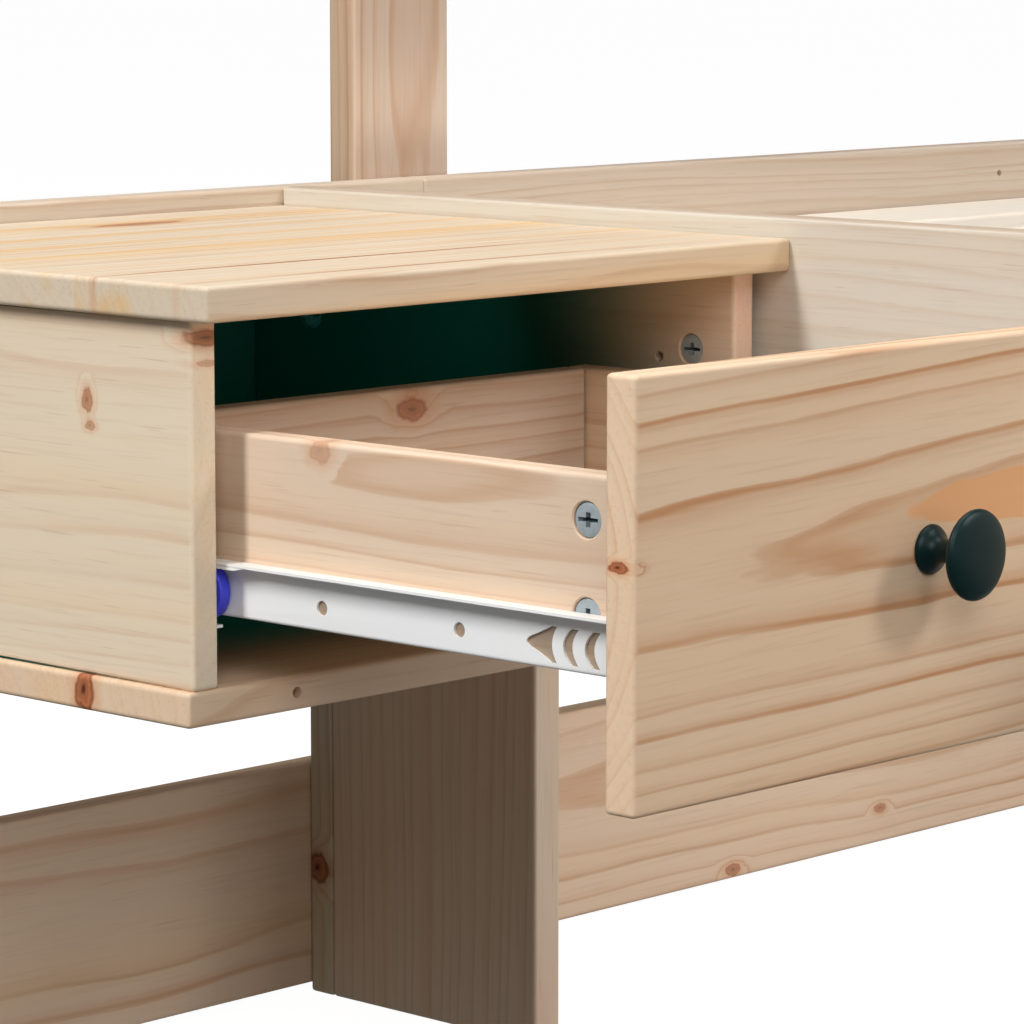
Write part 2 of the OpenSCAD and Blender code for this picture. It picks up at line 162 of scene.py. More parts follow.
def rounded_block(low, high, along, radius=edge_radius):
    """Vertices and faces of a board: a rounded rectangle carried along one axis, which draws in
    by r(1 - cos) over the last r of each end, so that every edge and corner is round."""
    low, high = np.array(low), np.array(high)
    axes = [(along + 1) % 3, (along + 2) % 3, along]
    half = ((high - low) / 2)[axes]
    radius = min(radius, half.min() * 0.9)
    swing = np.linspace(pi / 2, 0, edge_steps + 1)
    end = half[2]
    inward = [(end, 0, edge_support)]
    inward += [(end - radius + radius * sin(a), radius * cos(a), 0) for a in swing]
    inward += [(end - radius - edge_support, radius, 0)]
    rings = [(-z, r, s) for z, r, s in inward] + [(z, r, s) for z, r, s in reversed(inward)]
    outline = []
    for quarter, (side_b, side_c) in enumerate([(1, 1), (-1, 1), (-1, -1), (1, -1)]):
        turn = quarter * pi / 2 + np.linspace(0, pi / 2, edge_steps + 1)
        arc = np.stack([np.cos(turn), np.sin(turn)], 1)
        slide = np.zeros((edge_steps + 3, 2))
        slide[0] = -edge_support * np.array([-arc[0][1], arc[0][0]])
        slide[-1] = edge_support * np.array([-arc[-1][1], arc[-1][0]])
        arc = np.concatenate([arc[:1], arc, arc[-1:]])
        outline += [(np.array([side_b, side_c]), a, s) for a, s in zip(arc, slide)]
    sides = np.array([o[0] for o in outline])
    arcs = np.array([o[1] for o in outline])
    slides = np.array([o[2] for o in outline])
    points = []
    for z, r, s in rings:
        flat = sides * (half[:2] - radius - s) + arcs * r + slides
        points.append(np.column_stack([flat, np.full(len(flat), z)]))
    points = np.concatenate(points)
    placed = np.empty_like(points)
    placed[:, axes] = points
    placed += (low + high) / 2
    count = len(outline)
    start = np.arange(len(rings) - 1)[:, None] * count + np.arange(count)[None, :]
    following = np.roll(start, -1, axis=1)
    faces = np.stack([start, following, following + count, start + count], 2).reshape(-1, 4)
    caps = [list(range(count))[::-1], list(range(len(points) - count, len(points)))]
    return placed, faces.tolist() + caps


def shaped(name, parts, body, slot, material, *nodes):
    """Makes one piece from (vertices, faces) parts; it rides on body and replaces the nodes."""
    vertices, faces, base = [], [], 0
    for part_vertices, part_faces in parts:
        vertices += np.asarray(part_vertices).tolist()
        faces += [[int(i) + base for i in face] for face in part_faces]
        base += len(part_vertices)
    mesh = bpy.data.meshes.new(name)
    mesh.from_pydata(vertices, [], faces)
    tidy_mesh(mesh)
    piece = bpy.data.objects.new(name, mesh)
    bpy.context.scene.collection.objects.link(piece)
    mesh.materials.append(material)
    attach(piece, body)
    if nodes:
        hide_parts(*nodes)
    return piece


def tidy_mesh(mesh, sharp=0.6):
    """Merges doubles, then shades smooth across every edge that turns less than sharp."""
    work = bmesh.new()
    work.from_mesh(mesh)
    bmesh.ops.remove_doubles(work, verts=work.verts, dist=2e-6)
    bmesh.ops.recalc_face_normals(work, faces=work.faces)
    for face in work.faces:
        face.smooth = True
    for edge in work.edges:
        edge.smooth = edge.calc_face_angle(0) < sharp
    work.to_mesh(mesh)
    work.free()


def revolved(profile, place, axis, steps=48):
    """Vertices and faces of a closed turned solid: (radius, height) points turned about an
    axis (0, 1 or 2) through place; the first and the last point lie on the axis."""
    profile = np.array(profile)
    turn = np.arange(steps) * 2 * pi / steps
    ring = np.stack([np.cos(turn), np.sin(turn)], 1)
    flat = profile[:, 0, None, None] * ring[None]
    height = np.repeat(profile[:, 1, None], steps, axis=1)[..., None]
    points = np.concatenate([flat, height], 2).reshape(-1, 3)
    axes = [(axis + 1) % 3, (axis + 2) % 3, axis]
    placed = np.empty_like(points)
    placed[:, axes] = points
    start = np.arange(len(profile) - 1)[:, None] * steps + np.arange(steps)[None, :]
    following = np.roll(start, -1, axis=1)
    faces = np.stack([start, following, following + steps, start + steps], 2).reshape(-1, 4)
    return placed + np.array(place), faces.tolist()


def cut(piece, parts):
    """Cuts closed (vertices, faces) shapes out of a piece and keeps the result as its mesh."""
    vertices, faces, base = [], [], 0
    for part_vertices, part_faces in parts:
        vertices += np.asarray(part_vertices).tolist()
        faces += [[int(i) + base for i in face] for face in part_faces]
        base += len(part_vertices)
    mesh = bpy.data.meshes.new("cutter")
    mesh.from_pydata(vertices, [], faces)
    tidy_mesh(mesh)
    cutter = bpy.data.objects.new("cutter", mesh)
    bpy.context.scene.collection.objects.link(cutter)
    modifier = piece.modifiers.new("cut", "BOOLEAN")
    modifier.operation = "DIFFERENCE"
    modifier.solver = "EXACT"
    modifier.object = cutter
    graph = bpy.context.evaluated_depsgraph_get()
    result = bpy.data.meshes.new_from_object(piece.evaluated_get(graph))
    piece.modifiers.remove(modifier)
    bpy.data.objects.remove(cutter)
    piece.data = result
    tidy_mesh(result)


def drill(place, axis, diameter, depth, rim=0.0004):
    """A hole from the face at place into +axis (0, 1, 2) or -axis (3, 4, 5), with a small rim."""
    r, away = diameter / 2, -0.001
    profile = [(0, away), (r + rim, away), (r + rim, 0), (r, rim), (r, depth), (0, depth)]
    if axis > 2:
        profile = [(radius, -height) for radius, height in profile]
    return revolved(profile, place, axis % 3, 40)


# Pine is one pattern for every board: growth rings round a heart line that runs along the
# board, each ring darkening slowly and ending sharply, over fine fibres.
EARLY_WOOD = linear(226, 204, 175)
EARLY_WOOD_PINK = linear(222, 192, 166)
LATE_WOOD = linear(196, 146, 104)
FIBRE_DARK = linear(170, 126, 88)
RESIN_WOOD = linear(231, 188, 132)
HEART_WOOD = linear(226, 166, 112)


def growth_group():
    """Node group: ring number = distance from the heart line / ring width, bent by slow noise."""
    tree = bpy.data.node_groups.new("pine_growth", "ShaderNodeTree")
    for name, kind in (("Trunk", "NodeSocketVector"), ("Ring width", "NodeSocketFloat"),
                       ("Bend", "NodeSocketFloat"), ("Contrast", "NodeSocketFloat"),
                       ("Tone", "NodeSocketFloat"), ("Streak", "NodeSocketFloat"),
                       ("Wander", "NodeSocketFloat"), ("Fleck", "NodeSocketFloat")):
        tree.interface.new_socket(name, in_out="INPUT", socket_type=kind)
    for name, kind in (("Color", "NodeSocketColor"), ("Late", "NodeSocketFloat"),
                       ("Fibre", "NodeSocketFloat")):
        tree.interface.new_socket(name, in_out="OUTPUT", socket_type=kind)
    entry = tree.nodes.new("NodeGroupInput").outputs

    def noise(stretch, detail, **extra):
        spread = put(tree, "VectorMath", {0: entry["Trunk"], 1: stretch}, operation="MULTIPLY")
        return put(tree, "TexNoise", {"Vector": spread[0], "Scale": 1.0, "Detail": detail, **extra})

    def wander(stretch, detail, reach):
        shift = put(tree, "VectorMath", {0: noise(stretch, detail)[1], 1: (-0.5, -0.5, -0.5)})
        return put(tree, "VectorMath", {0: shift[0], 1: (0, reach, reach)}, operation="MULTIPLY")

    slow = wander((1.8, 6, 6), 2, 0.030)
    fine = wander((9, 55, 55), 3, 0.0022)
    slow = put(tree, "VectorMath", {0: slow[0], "Scale": entry["Wander"]}, operation="SCALE")
    place = put(tree, "VectorMath", {0: entry["Trunk"], 1: slow[0]})
    place = put(tree, "VectorMath", {0: place[0], 1: fine[0]})
    flat = put(tree, "VectorMath", {0: place[0], 1: (0, 1, 1)}, operation="MULTIPLY")
    radius = put(tree, "VectorMath", {0: flat[0]}, operation="LENGTH")[1]
    ring = put(tree, "Math", {0: radius, 1: entry["Ring width"]}, operation="DIVIDE")
    ring = put(tree, "Math", {0: ring[0], 1: entry["Bend"]}, operation="ADD")
    uneven = put(tree, "TexNoise", {"W": ring[0], "Scale": 0.45, "Detail": 1.0},
                 noise_dimensions="1D")
    ring = put(tree, "Math", {0: uneven[0], 1: 1.3, 2: ring[0]}, operation="MULTIPLY_ADD")
    number = put(tree, "Math", {0: ring[0]}, operation="FLOOR")
    part = put(tree, "Math", {0: ring[0]}, operation="FRACT")
    profile = tree.nodes.new("ShaderNodeValToRGB")
    tree.links.new(part[0], profile.inputs[0])
    ramp = profile.color_ramp
    ramp.interpolation = "EASE"
    stops = ((0.0, 0.10), (0.12, 0.03), (0.45, 0.10), (0.74, 0.42), (0.89, 1.0), (0.95, 0.75),
             (1.0, 0.10))
    for where, shade in stops:
        stop = ramp.elements[0] if where == 0 else (
            ramp.elements[-1] if where == 1 else ramp.elements.new(where))
        stop.color = (shade, shade, shade, 1)
    chance = put(tree, "TexWhiteNoise", {"W": number[0]}, noise_dimensions="1D")
    strength = put(tree, "MapRange", {0: chance[0], 3: 0.5, 4: 1.0})
    late = put(tree, "Math", {0: profile.outputs[0], 1: strength[0]}, operation="MULTIPLY")
    fade = put(tree, "MapRange", {0: noise((5, 9, 9), 2)[0], 1: 0.30, 2: 0.62, 3: 0.55, 4: 1.15})
    late = put(tree, "Math", {0: late[0], 1: fade[0]}, operation="MULTIPLY")
    late = put(tree, "Math", {0: late[0], 1: entry["Contrast"]}, operation="MULTIPLY",
               use_clamp=True)
    patch = put(tree, "MapRange", {0: noise((1.1, 10, 10), 3)[0], 1: 0.3, 2: 0.7})
    tone = put(tree, "Math", {0: patch[0], 1: entry["Tone"]}, operation="MULTIPLY", use_clamp=True)
    early = put(tree, "Mix", {0: tone[0], 6: EARLY_WOOD, 7: EARLY_WOOD_PINK}, data_type="RGBA")
    band = put(tree, "MapRange", {0: noise((0.7, 34, 34), 2)[0], 1: 0.50, 2: 0.68})
    band = put(tree, "Math", {0: band[0], 1: entry["Streak"]}, operation="MULTIPLY", use_clamp=True)
    early = put(tree, "Mix", {0: band[0], 6: early[2], 7: RESIN_WOOD}, data_type="RGBA")
    wood = put(tree, "Mix", {0: late[0], 6: early[2], 7: LATE_WOOD}, data_type="RGBA")
    fibre = noise((14, 520, 520), 2, Roughness=0.65)
    streak = put(tree, "MapRange", {0: fibre[0], 1: 0.52, 2: 0.80, 3: 0.0, 4: 0.20})
    wood = put(tree, "Mix", {0: streak[0], 6: wood[2], 7: FIBRE_DARK}, data_type="RGBA")
    fleck = noise((30, 900, 900), 0)
    dash = put(tree, "MapRange", {0: fleck[0], 1: 0.775, 2: 0.80, 3: 0.0, 4: 1.0})
    dash = put(tree, "Math", {0: dash[0], 1: entry["Fleck"]}, operation="MULTIPLY")
    wood = put(tree, "Mix", {0: dash[0], 6: wood[2], 7: FIBRE_DARK}, data_type="RGBA")
    leave = tree.nodes.new("NodeGroupOutput").inputs
    tree.links.new(wood[2], leave["Color"])
    tree.links.new(late[0], leave["Late"])
    tree.links.new(fibre[0], leave["Fibre"])
    return tree


growth = growth_group()
# Colour multipliers for each kind of board: partly the board's own tone, and partly painted shade that
# darkens the headboard's posts and boards, the head legs and the legs' end boards.
TONE_AND_SHADE = {"post": (0.86, 0.89, 0.97), "back": (0.90, 0.99, 1.12), "rail": (0.90, 1.08, 1.32),
        "left_low": (0.97, 0.95, 0.95), "low": (0.98, 0.94, 0.95), "leg": (0.83, 0.86, 0.91),
        "leg_edge": (0.74, 0.85, 0.88), "slat": (1.22, 1.45, 1.80), "top": (1.0, 1.06, 1.14),
        "side": (1.13, 1.21, 1.28), "inner": (1.10, 1.12, 1.20), "bottom": (1.10, 1.05, 1.02),
        "front": (1.13, 1.06, 1.03), "box": (1.05, 1.07, 1.12), "box_back": (0.88, 0.96, 1.13)}
KNOT_HEART = linear(92, 44, 26)
KNOT_WOOD = linear(186, 118, 78)
KNOT_RIM = linear(136, 76, 46)
KNOT_GLOW = linear(214, 156, 112)
# Dark teal of the painted shade inside the cabinets.
HOLLOW_SHADE = (0.03, 0.16, 0.125, 1.0)


def pine(name, low, high, along, heart=(0.03, 0.09), ring=0.006, tilt=(0.0, 0.0), contrast=0.6,
         tone=0.6, streak=0.25, phase=0.0, seed=0, staves=0.0, knots=(), tint=(1.0, 1.0, 1.0),
         hollow=None, wander=1.0, patch=None, fleck=0.22, edge_tint=None, covered=None):
    """Pine cut from a trunk whose heart line lies at heart = (b, c) from the board's middle, b
    and c being the axes that follow the grain's, tilted by tilt. A knot is (centre, radii,
    darkness): distance from it in radii gives its rings and bends the growth rings round it.
    hollow is a box whose walls get a painted shade that deepens from the front edge inwards,
    edge_tint lightens or darkens the board's thin edges as painted light and shade, patch is the
    (centre, radii) of an orange spot, and the wood below the height covered gets a painted shadow
    from what lies on it."""
    material, tree = new_material(name)
    here = put(tree, "TexCoord", {})["Object"]
    parts = put(tree, "SeparateXYZ", {0: here})
    turned = put(tree, "CombineXYZ", {0: parts[along], 1: parts[(along + 1) % 3],
                                      2: parts[(along + 2) % 3]})
    middle = (Vector(low) + Vector(high)) / 2
    middle = Vector((middle[along], middle[(along + 1) % 3], middle[(along + 2) % 3]))
    lean = Euler((0.0, tilt[1], tilt[0]))
    shift = -(lean.to_matrix() @ middle) - Vector((seed * 3.7, heart[0], heart[1]))
    trunk = put(tree, "Mapping", {"Vector": turned[0], "Location": shift, "Rotation": lean})
    stave_tint = None
    if staves:
        strip = put(tree, "Math", {0: parts[1 if along == 0 else 0], 1: staves}, operation="DIVIDE")
        strip = put(tree, "Math", {0: strip[0]}, operation="FLOOR")
        chance = put(tree, "TexWhiteNoise", {"W": strip[0]}, noise_dimensions="1D")
        stave_tint = put(tree, "Mix", {0: chance[0], 6: (0.90, 0.88, 0.84, 1), 7: (1.0, 1.0, 1.0, 1)},
                         data_type="RGBA")[2]
        jump = put(tree, "VectorMath", {0: chance[1], 1: (-0.5, -0.5, -0.5)})
        jump = put(tree, "VectorMath", {0: jump[0], 1: (9.0, 0.16, 0.05)}, operation="MULTIPLY")
        trunk = put(tree, "VectorMath", {0: trunk[0], 1: jump[0]})
    bend, masks = phase, []
    for centre, radii, darkness in knots:
        scale = Vector([1 / r for r in radii])
        offset = Vector([-c / r for c, r in zip(centre, radii)])
        near = put(tree, "Mapping", {"Vector": here, "Location": offset, "Scale": scale})
        distance = put(tree, "VectorMath", {0: near[0]}, operation="LENGTH")[1]
        rough = put(tree, "TexNoise", {"Vector": near[0], "Scale": 1.1, "Detail": 3.0})
        distance = put(tree, "Math", {0: rough[0], 1: 0.9, 2: distance}, operation="MULTIPLY_ADD")
        distance = put(tree, "Math", {0: distance[0], 1: -0.45}, operation="ADD")
        masks.append((distance[0], darkness))
        swell = put(tree, "MapRange", {0: distance[0], 1: 3.2, 2: 0.2, 3: 0.0, 4: 1.6 * darkness},
                    interpolation_type="SMOOTHERSTEP")
        bend = put(tree, "Math", {0: swell[0], 1: bend}, operation="ADD")[0]
    grown = tree.nodes.new("ShaderNodeGroup")
    grown.node_tree = growth
    tree.links.new(trunk[0], grown.inputs["Trunk"])
    if masks:
        tree.links.new(bend, grown.inputs["Bend"])
    else:
        grown.inputs["Bend"].default_value = phase
    for socket, value in (("Ring width", ring), ("Tone", tone), ("Streak", streak),
                          ("Wander", wander), ("Fleck", fleck)):
        grown.inputs[socket].default_value = value
    half_length = (high[along] - low[along]) / 2
    off = put(tree, "Math", {0: parts[along], 1: middle[0]}, operation="SUBTRACT")
    off = put(tree, "Math", {0: off[0]}, operation="ABSOLUTE")
    end_grain = put(tree, "MapRange", {0: off[0], 1: half_length - 0.003, 2: half_length - 0.0005,
                                       3: contrast, 4: 0.3 * contrast})
    tree.links.new(end_grain[0], grown.inputs["Contrast"])
    colour = grown.outputs["Color"]

    def blend(share, other, kind="MIX"):
        return put(tree, "Mix", {0: share, 6: colour, 7: other}, data_type="RGBA",
                   blend_type=kind)[2]

    if patch:
        near = put(tree, "Mapping", {"Vector": here, "Scale": [1 / r for r in patch[1]],
                                     "Location": [-c / r for c, r in zip(*patch)]})
        distance = put(tree, "VectorMath", {0: near[0]}, operation="LENGTH")[1]
        rough = put(tree, "TexNoise", {"Vector": here, "Scale": 28.0, "Detail": 2.0})
        distance = put(tree, "Math", {0: rough[0], 1: 0.5, 2: distance}, operation="MULTIPLY_ADD")
        spot = put(tree, "MapRange", {0: distance[0], 1: 1.30, 2: 1.24, 3: 0.0, 4: 0.8})
        colour = blend(spot[0], HEART_WOOD)
    for distance, darkness in masks:
        glow = put(tree, "MapRange", {0: distance, 1: 2.4, 2: 0.9, 3: 0.0, 4: 0.6 * darkness},
                   interpolation_type="SMOOTHSTEP")
        colour = blend(glow[0], KNOT_GLOW)
        waves = put(tree, "Math", {0: distance, 1: 16.0}, operation="MULTIPLY")
        waves = put(tree, "Math", {0: waves[0]}, operation="SINE")
        inner = put(tree, "MapRange", {0: waves[0], 1: -1.0, 2: 1.0, 3: 0.10, 4: 0.5})
        inside = put(tree, "Mix", {0: inner[0], 6: KNOT_WOOD, 7: KNOT_RIM}, data_type="RGBA")[2]
        core = put(tree, "MapRange", {0: distance, 1: 0.45, 2: 0.1, 3: 0.0, 4: darkness})
        inside = put(tree, "Mix", {0: core[0], 6: inside, 7: KNOT_HEART}, data_type="RGBA")[2]
        edge = put(tree, "MapRange", {0: distance, 1: 0.70, 2: 0.95, 3: 0.0, 4: darkness ** 2})
        inside = put(tree, "Mix", {0: edge[0], 6: inside, 7: KNOT_RIM}, data_type="RGBA")[2]
        mask = put(tree, "MapRange", {0: distance, 1: 1.20, 2: 0.85, 3: 0.0, 4: darkness ** 1.5},
                   interpolation_type="SMOOTHSTEP")
        colour = blend(mask[0], inside)
    if stave_tint:
        colour = blend(1.0, stave_tint, "MULTIPLY")
    colour = blend(1.0, (*tint, 1.0), "MULTIPLY")
    # Painted light and shade on the board's edges: faces that do not face along the thin axis are
    # multiplied by edge_tint, which lightens the front edges of the cabinet sides and darkens the edges
    # of the headboard posts and the left side rail.
    if edge_tint:
        thin = min(range(3), key=lambda k: high[k] - low[k])
        normal = put(tree, "SeparateXYZ", {0: put(tree, "TexCoord", {})["Normal"]})
        level = put(tree, "Math", {0: normal[thin]}, operation="ABSOLUTE")
        level = put(tree, "MapRange", {0: level[0], 1: 0.8, 2: 0.5})
        colour = blend(level[0], (*edge_tint, 1.0), "MULTIPLY")
    # Painted shadow: the wood below the height covered, where the runner sheet lies on the drawer side,
    # is darkened as the shade under the runner.
    if covered:
        under = put(tree, "MapRange", {0: parts[2], 1: covered, 2: covered - 0.0015, 4: 0.9})
        colour = blend(under[0], (0.50, 0.49, 0.48, 1.0), "MULTIPLY")
    # Painted shade inside the cabinet: faces on the walls of the hollow box are darkened towards the back
    # into HOLLOW_SHADE, standing in for the shade that falls inside the cabinet.
    if hollow:
        centre = (Vector(hollow[0]) + Vector(hollow[1])) / 2
        half = (Vector(hollow[1]) - Vector(hollow[0])) / 2 + Vector((0.0003, 0.0003, 0.0003))
        unit = put(tree, "Mapping", {"Vector": here, "Location": [-c / h for c, h in zip(centre, half)],
                                     "Scale": [1 / h for h in half]})
        unit = put(tree, "VectorMath", {0: unit[0]}, operation="ABSOLUTE")
        unit = put(tree, "SeparateXYZ", {0: unit[0]})
        far = put(tree, "Math", {0: unit[0], 1: unit[1]}, operation="MAXIMUM")
        far = put(tree, "Math", {0: far[0], 1: unit[2]}, operation="MAXIMUM")
        within = put(tree, "Math", {0: far[0], 1: 1.0}, operation="LESS_THAN")
        depth = put(tree, "MapRange", {0: parts[1], 1: hollow[0][1], 2: hollow[0][1] + 0.14},
                    interpolation_type="SMOOTHSTEP")
        depth = put(tree, "Math", {0: depth[0], 1: within[0]}, operation="MULTIPLY")
        colour = blend(depth[0], HOLLOW_SHADE)
    roughness = put(tree, "MapRange", {0: grown.outputs["Late"], 3: 0.60, 4: 0.50})
    height = put(tree, "Math", {0: grown.outputs["Fibre"], 1: grown.outputs["Late"]})
    finish_material(tree, {"Base Color": colour, "Roughness": roughness[0],
                           "Specular IOR Level": 0.35}, height[0], 0.12, 0.0004)
    return material


def board(node, body, along, holes=(), gap=0.0, **figure):
    """A planed board in the place and size of its CAD node, shorter by gap at each end."""
    low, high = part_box(node)
    material = pine(node + "_pine", low, high, along, **figure)
    step = Vector([gap if k == along else 0.0 for k in range(3)])
    block_low, block_high = Vector(low) + step, Vector(high) - step
    piece = shaped(node + "_board", [rounded_block(block_low, block_high, along)], body, "pine",
                   material, node)
    if holes:
        cut(piece, holes)
    return piece


# ---- Headboard ----------------------------------------------------------------------------
# Two tall posts stand behind the back boards; two boards join them above the pillow, and two
# short posts carry the back boards' outer ends behind the cabinets.
for index, side in enumerate(("left", "right")):
    board(f"headboard_post_{side}", "bed", 2, heart=(0.012, 0.06), ring=0.0055, seed=1 + index,
          contrast=0.55, tone=0.9, tint=TONE_AND_SHADE["post"], edge_tint=(0.87, 0.82, 0.74))
    board(f"outer_post_{side}", "bed", 2, heart=(-0.01, 0.05), seed=3 + index,
          tint=TONE_AND_SHADE["post"])
board("headboard_top_board", "bed", 0, heart=(0.07, 0.02), seed=5, contrast=0.7, tint=TONE_AND_SHADE["post"],
      knots=[((0.22, 1.0, 0.945), (0.016, 0.02, 0.009), 0.9)])
board("headboard_low_board", "bed", 0, heart=(0.06, -0.02), seed=6, contrast=0.7, tint=TONE_AND_SHADE["post"],
      knots=[((-0.35, 1.0, 0.775), (0.014, 0.02, 0.008), 0.9)])

# ---- Back boards --------------------------------------------------------------------------
# The upper boards close the head at the rails' height, the lower ones just above the floor.
# Each row is three boards that meet on the headboard posts.
low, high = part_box("upper_back_board_centre")
nail_holes = [drill((side * x, low[1], high[2] - 0.020), 1, 0.004, 0.008)
              for x in (0.0453, 0.0793) for side in (-1, 1)]
board("upper_back_board_centre", "bed", 0, nail_holes, heart=(0.09, -0.06), seed=8,
      contrast=0.45, tone=0.9, tint=TONE_AND_SHADE["back"])
board("lower_back_board_left", "bed", 0, heart=(0.10, 0.01), seed=10, ring=0.008, contrast=0.7,
      tint=TONE_AND_SHADE["left_low"])
board("lower_back_board_centre", "bed", 0, heart=(0.08, 0.02), seed=11, ring=0.008, contrast=0.8,
      tint=TONE_AND_SHADE["low"], knots=[((-0.3439, 1.0, 0.0099), (0.007, 0.02, 0.004), 0.8),
                               ((-0.1972, 1.0, 0.0271), (0.006, 0.02, 0.003), 0.7)])
board("lower_back_board_right", "bed", 0, heart=(0.10, -0.01), seed=12, ring=0.008, contrast=0.7,
      tint=TONE_AND_SHADE["low"])

# ---- Rails, legs and slats ----------------------------------------------------------------
# Side rails and foot rail are bolted to L-shaped legs of two boards; ledges and a centre beam
# on two feet carry the slats.
board("side_rail_left", "bed", 1, heart=(-0.02, 0.10), seed=13, contrast=0.30, tone=0.6,
      tint=TONE_AND_SHADE["rail"], edge_tint=(0.80, 0.70, 0.65))
board("side_rail_right", "bed", 1, heart=(0.02, -0.10), seed=14, contrast=0.5, tint=TONE_AND_SHADE["rail"],
      knots=[((0.728, -0.3, 0.35), (0.02, 0.016, 0.010), 0.9)])
board("foot_rail", "bed", 0, heart=(-0.10, 0.02), seed=15, contrast=0.6,
      knots=[((-0.42, -1.038, 0.37), (0.018, 0.02, 0.011), 0.9)])
for index, side in enumerate(("left", "right")):
    board(f"head_leg_{side}_side", "bed", 2, heart=(0.02, 0.28), seed=16 + index, ring=0.009,
          contrast=0.45, tone=0.9, tint=TONE_AND_SHADE["leg"])
    board(f"head_leg_{side}_end", "bed", 2, heart=(0.04, 0.08), seed=18 + index, contrast=0.7,
          tint=TONE_AND_SHADE["leg_edge"], knots=[((-0.71, 0.9936, 0.0717), (0.010, 0.008, 0.008), 1.0)])
    board(f"slat_ledge_{side}", "bed", 1, heart=(0.03, 0.03), seed=20 + index)
    board(f"foot_leg_{side}_side", "bed", 2, heart=(0.09, 0.03), seed=22 + index)
    board(f"foot_leg_{side}_end", "bed", 2, heart=(0.05, 0.08), seed=24 + index)
board("centre_beam", "bed", 1, heart=(0.04, 0.02), seed=26)

low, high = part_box("centre_feet")
beam_low, beam_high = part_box("centre_beam")
foot_side = high[0] - low[0]
feet = [rounded_block((low[0], y, low[2]), (high[0], y + foot_side, high[2]), 2)
        for y in (low[1], high[1] - foot_side)]
shaped("centre_feet_posts", feet, "bed", "pine", pine("feet_pine", low, high, 2, seed=27),
       "centre_feet")

slat_count, slat_width = 13, 0.085
low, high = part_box("slats")
slat_pitch = (high[1] - low[1] - slat_width) / (slat_count - 1)
slats = [rounded_block((low[0], low[1] + i * slat_pitch, low[2]),
                       (high[0], low[1] + i * slat_pitch + slat_width, high[2]), 0)
         for i in range(slat_count)]
shaped("slats_boards", slats, "bed", "pine",
       pine("slat_pine", low, high, 0, (0.06, 0.05), contrast=0.30, tone=0.2, seed=28,
            tint=TONE_AND_SHADE["slat"],
            staves=slat_pitch), "slats")

# ---- Bolts and cams -----------------------------------------------------------------------
# Zinc plated, with a faint patchiness. Bolts have a domed head with a hexagon socket; cams are
# discs that sit just inside their bores, with a cross slot.
zinc, tree = new_material("zinc_plate")
here = put(tree, "TexCoord", {})["Object"]
blotch = put(tree, "TexNoise", {"Vector": here, "Scale": 260.0, "Detail": 3.0})
colour = put(tree, "Mix", {0: blotch[0], 6: linear(158, 174, 182), 7: linear(206, 216, 220)},
             data_type="RGBA")
grain = put(tree, "TexNoise", {"Vector": here, "Scale": 2500.0})
rough = put(tree, "MapRange", {0: blotch[0], 3: 0.32, 4: 0.48})
finish_material(tree, {"Base Color": colour[2], "Metallic": 0.3, "Roughness": rough[0]},
                grain[0], 0.1, 0.0001)


def pressed(profile, place, axis, way, steps=48):
    """A turned solid whose profile's heights point along +axis (way 1) or -axis (way -1)."""
    return revolved([(r, way * h) for r, h in profile], place, axis, steps)


bolt_r, bolt_head_r, bolt_head, bolt_end = 0.003, 0.006, 0.003, 0.011
bolt_parts, socket_parts = [], []
for side, out in (("left", -1), ("right", 1)):
    for end, way in (("head", 1), ("foot", -1)):
        side_low, side_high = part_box(f"{end}_leg_{side}_side")
        end_low, end_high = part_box(f"{end}_leg_{side}_end")
        rail_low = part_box(f"side_rail_{side}")[0]
        side_t, end_t = side_high[0] - side_low[0], end_high[1] - end_low[1]
        wall_x = side_low[0] if out < 0 else side_high[0]
        wall_y = end_high[1] if way > 0 else end_low[1]
        for lift in (0.030, 0.085):
            for place, axis, sign, t in (
                    ((wall_x, wall_y - way * (end_t + 0.060), rail_low[2] + lift), 0, out, side_t),
                    ((wall_x - out * (side_t + 0.040), wall_y, rail_low[2] + lift), 1, way, end_t)):
                head = [(0, bolt_end), (bolt_r, bolt_end), (bolt_r, -t), (bolt_head_r, -t)]
                head += [(bolt_head_r * cos(a), -t - 0.0008 - (bolt_head - 0.0008) * sin(a))
                         for a in np.radians([0, 25, 50, 70, 90])]
                bolt_parts.append(pressed(head, place, axis, sign, 32))
                socket = [(0, -t - 0.0012), (0.0022, -t - 0.0012), (0.0022, -t - 0.01), (0, -t - 0.01)]
                socket_parts.append(pressed(socket, place, axis, sign, 6))
bolts = shaped("frame_bolts_zinc", bolt_parts, "bed", "fitting_zinc", zinc, "frame_bolts")
cut(bolts, socket_parts)

cam_r, cam_sink, cam_deep = 0.0074, 0.0009, 0.012


def block(low, high):
    """Vertices and faces of a plain box."""
    x, y, z = zip(low, high)
    points = [(x[i], y[j], z[k]) for i in (0, 1) for j in (0, 1) for k in (0, 1)]
    return points, [(0, 1, 3, 2), (4, 6, 7, 5), (0, 4, 5, 1), (2, 3, 7, 6), (0, 2, 6, 4), (1, 5, 7, 3)]


def prism(outline, place, axis, low, high):
    """A prism on an outline in the two axes that follow axis, from low to high along axis."""
    count = len(outline)
    points = np.empty((2 * count, 3))
    for row, along in enumerate((low, high)):
        rows = slice(row * count, (row + 1) * count)
        points[rows, (axis + 1) % 3] = [o[0] for o in outline]
        points[rows, (axis + 2) % 3] = [o[1] for o in outline]
        points[rows, axis] = along
    faces = [tuple(range(count))[::-1], tuple(range(count, 2 * count))]
    faces += [(i, (i + 1) % count, count + (i + 1) % count, count + i) for i in range(count)]
    return points + np.array(place), faces


